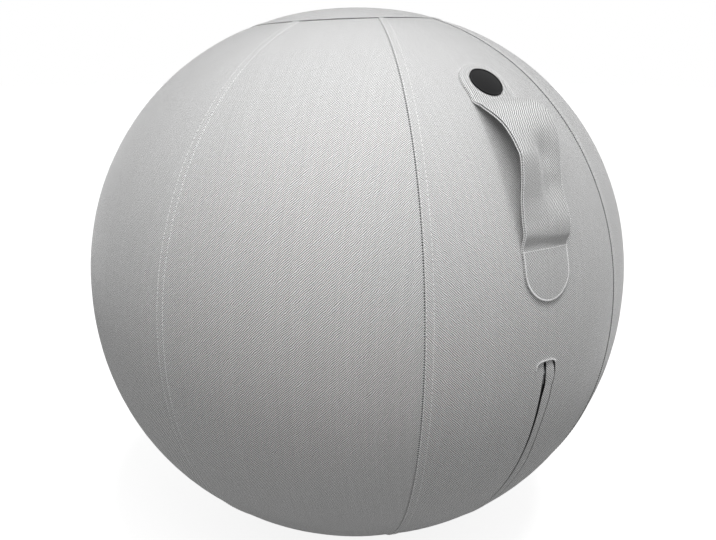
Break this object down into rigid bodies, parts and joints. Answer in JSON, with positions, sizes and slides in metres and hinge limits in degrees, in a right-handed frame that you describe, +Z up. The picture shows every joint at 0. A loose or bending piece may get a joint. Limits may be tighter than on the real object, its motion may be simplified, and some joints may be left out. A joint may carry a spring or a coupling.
{
  "type": "balance ball chair",
  "caption": "Air-filled balance ball seat in a sewn light grey fabric cover with a carrying handle and a zip.",
  "frame": {"origin": "centre of the flat patch that rests on the floor", "axes": "+Z up along the ball's axis, -Y towards the middle of the front gore with its handle and zip, +X to the right of it"},
  "size_m": [0.648, 0.6489, 0.6368],
  "materials": {
    "cover_fabric": "woven light grey twill",
    "badge_black": "satin black, bare",
    "tape_fabric": "dark grey woven tape",
    "coil_plastic": "satin dark grey",
    "slider_metal": "satin grey",
    "bladder_pvc": "satin grey PVC",
    "valve_plastic": "satin white"
  },
  "bodies": {
    "ball": {"top_cap": "cover_fabric", "bottom_cap": "cover_fabric", "gore_front": "cover_fabric", "gore_front_right": "cover_fabric", "gore_right": "cover_fabric", "gore_back_right": "cover_fabric", "gore_back": "cover_fabric", "gore_back_left": "cover_fabric", "gore_left": "cover_fabric", "gore_front_left": "cover_fabric", "handle_strap": "cover_fabric", "handle_lining": "cover_fabric", "badge": "badge_black", "zip_lip_left": "cover_fabric", "zip_lip_right": "cover_fabric", "zip_tape_left": "tape_fabric", "zip_tape_right": "tape_fabric", "zip_coil_left": "coil_plastic", "zip_coil_right": "coil_plastic", "zip_top_stop": "slider_metal", "zip_bottom_stop": "slider_metal", "zip_guard": "tape_fabric", "bladder": "bladder_pvc", "valve_seat": "valve_plastic", "valve_plug": "valve_plastic"},
    "slider": {"zip_slider": "slider_metal"},
    "puller": {"zip_puller": "slider_metal"}
  },
  "joints": [
    {"name": "zip_slide", "type": "hinge", "parent": "ball", "child": "slider", "pos_m": [0, -0.01448, 0.30904], "axis": [1, 0, 0], "range_deg": [0, 57.2]},
    {"name": "puller_swing", "type": "hinge", "parent": "slider", "child": "puller", "pos_m": [0, -0.32163, 0.29986], "axis": [-1, 0, 0], "range_deg": [0, 100]}
  ]
}
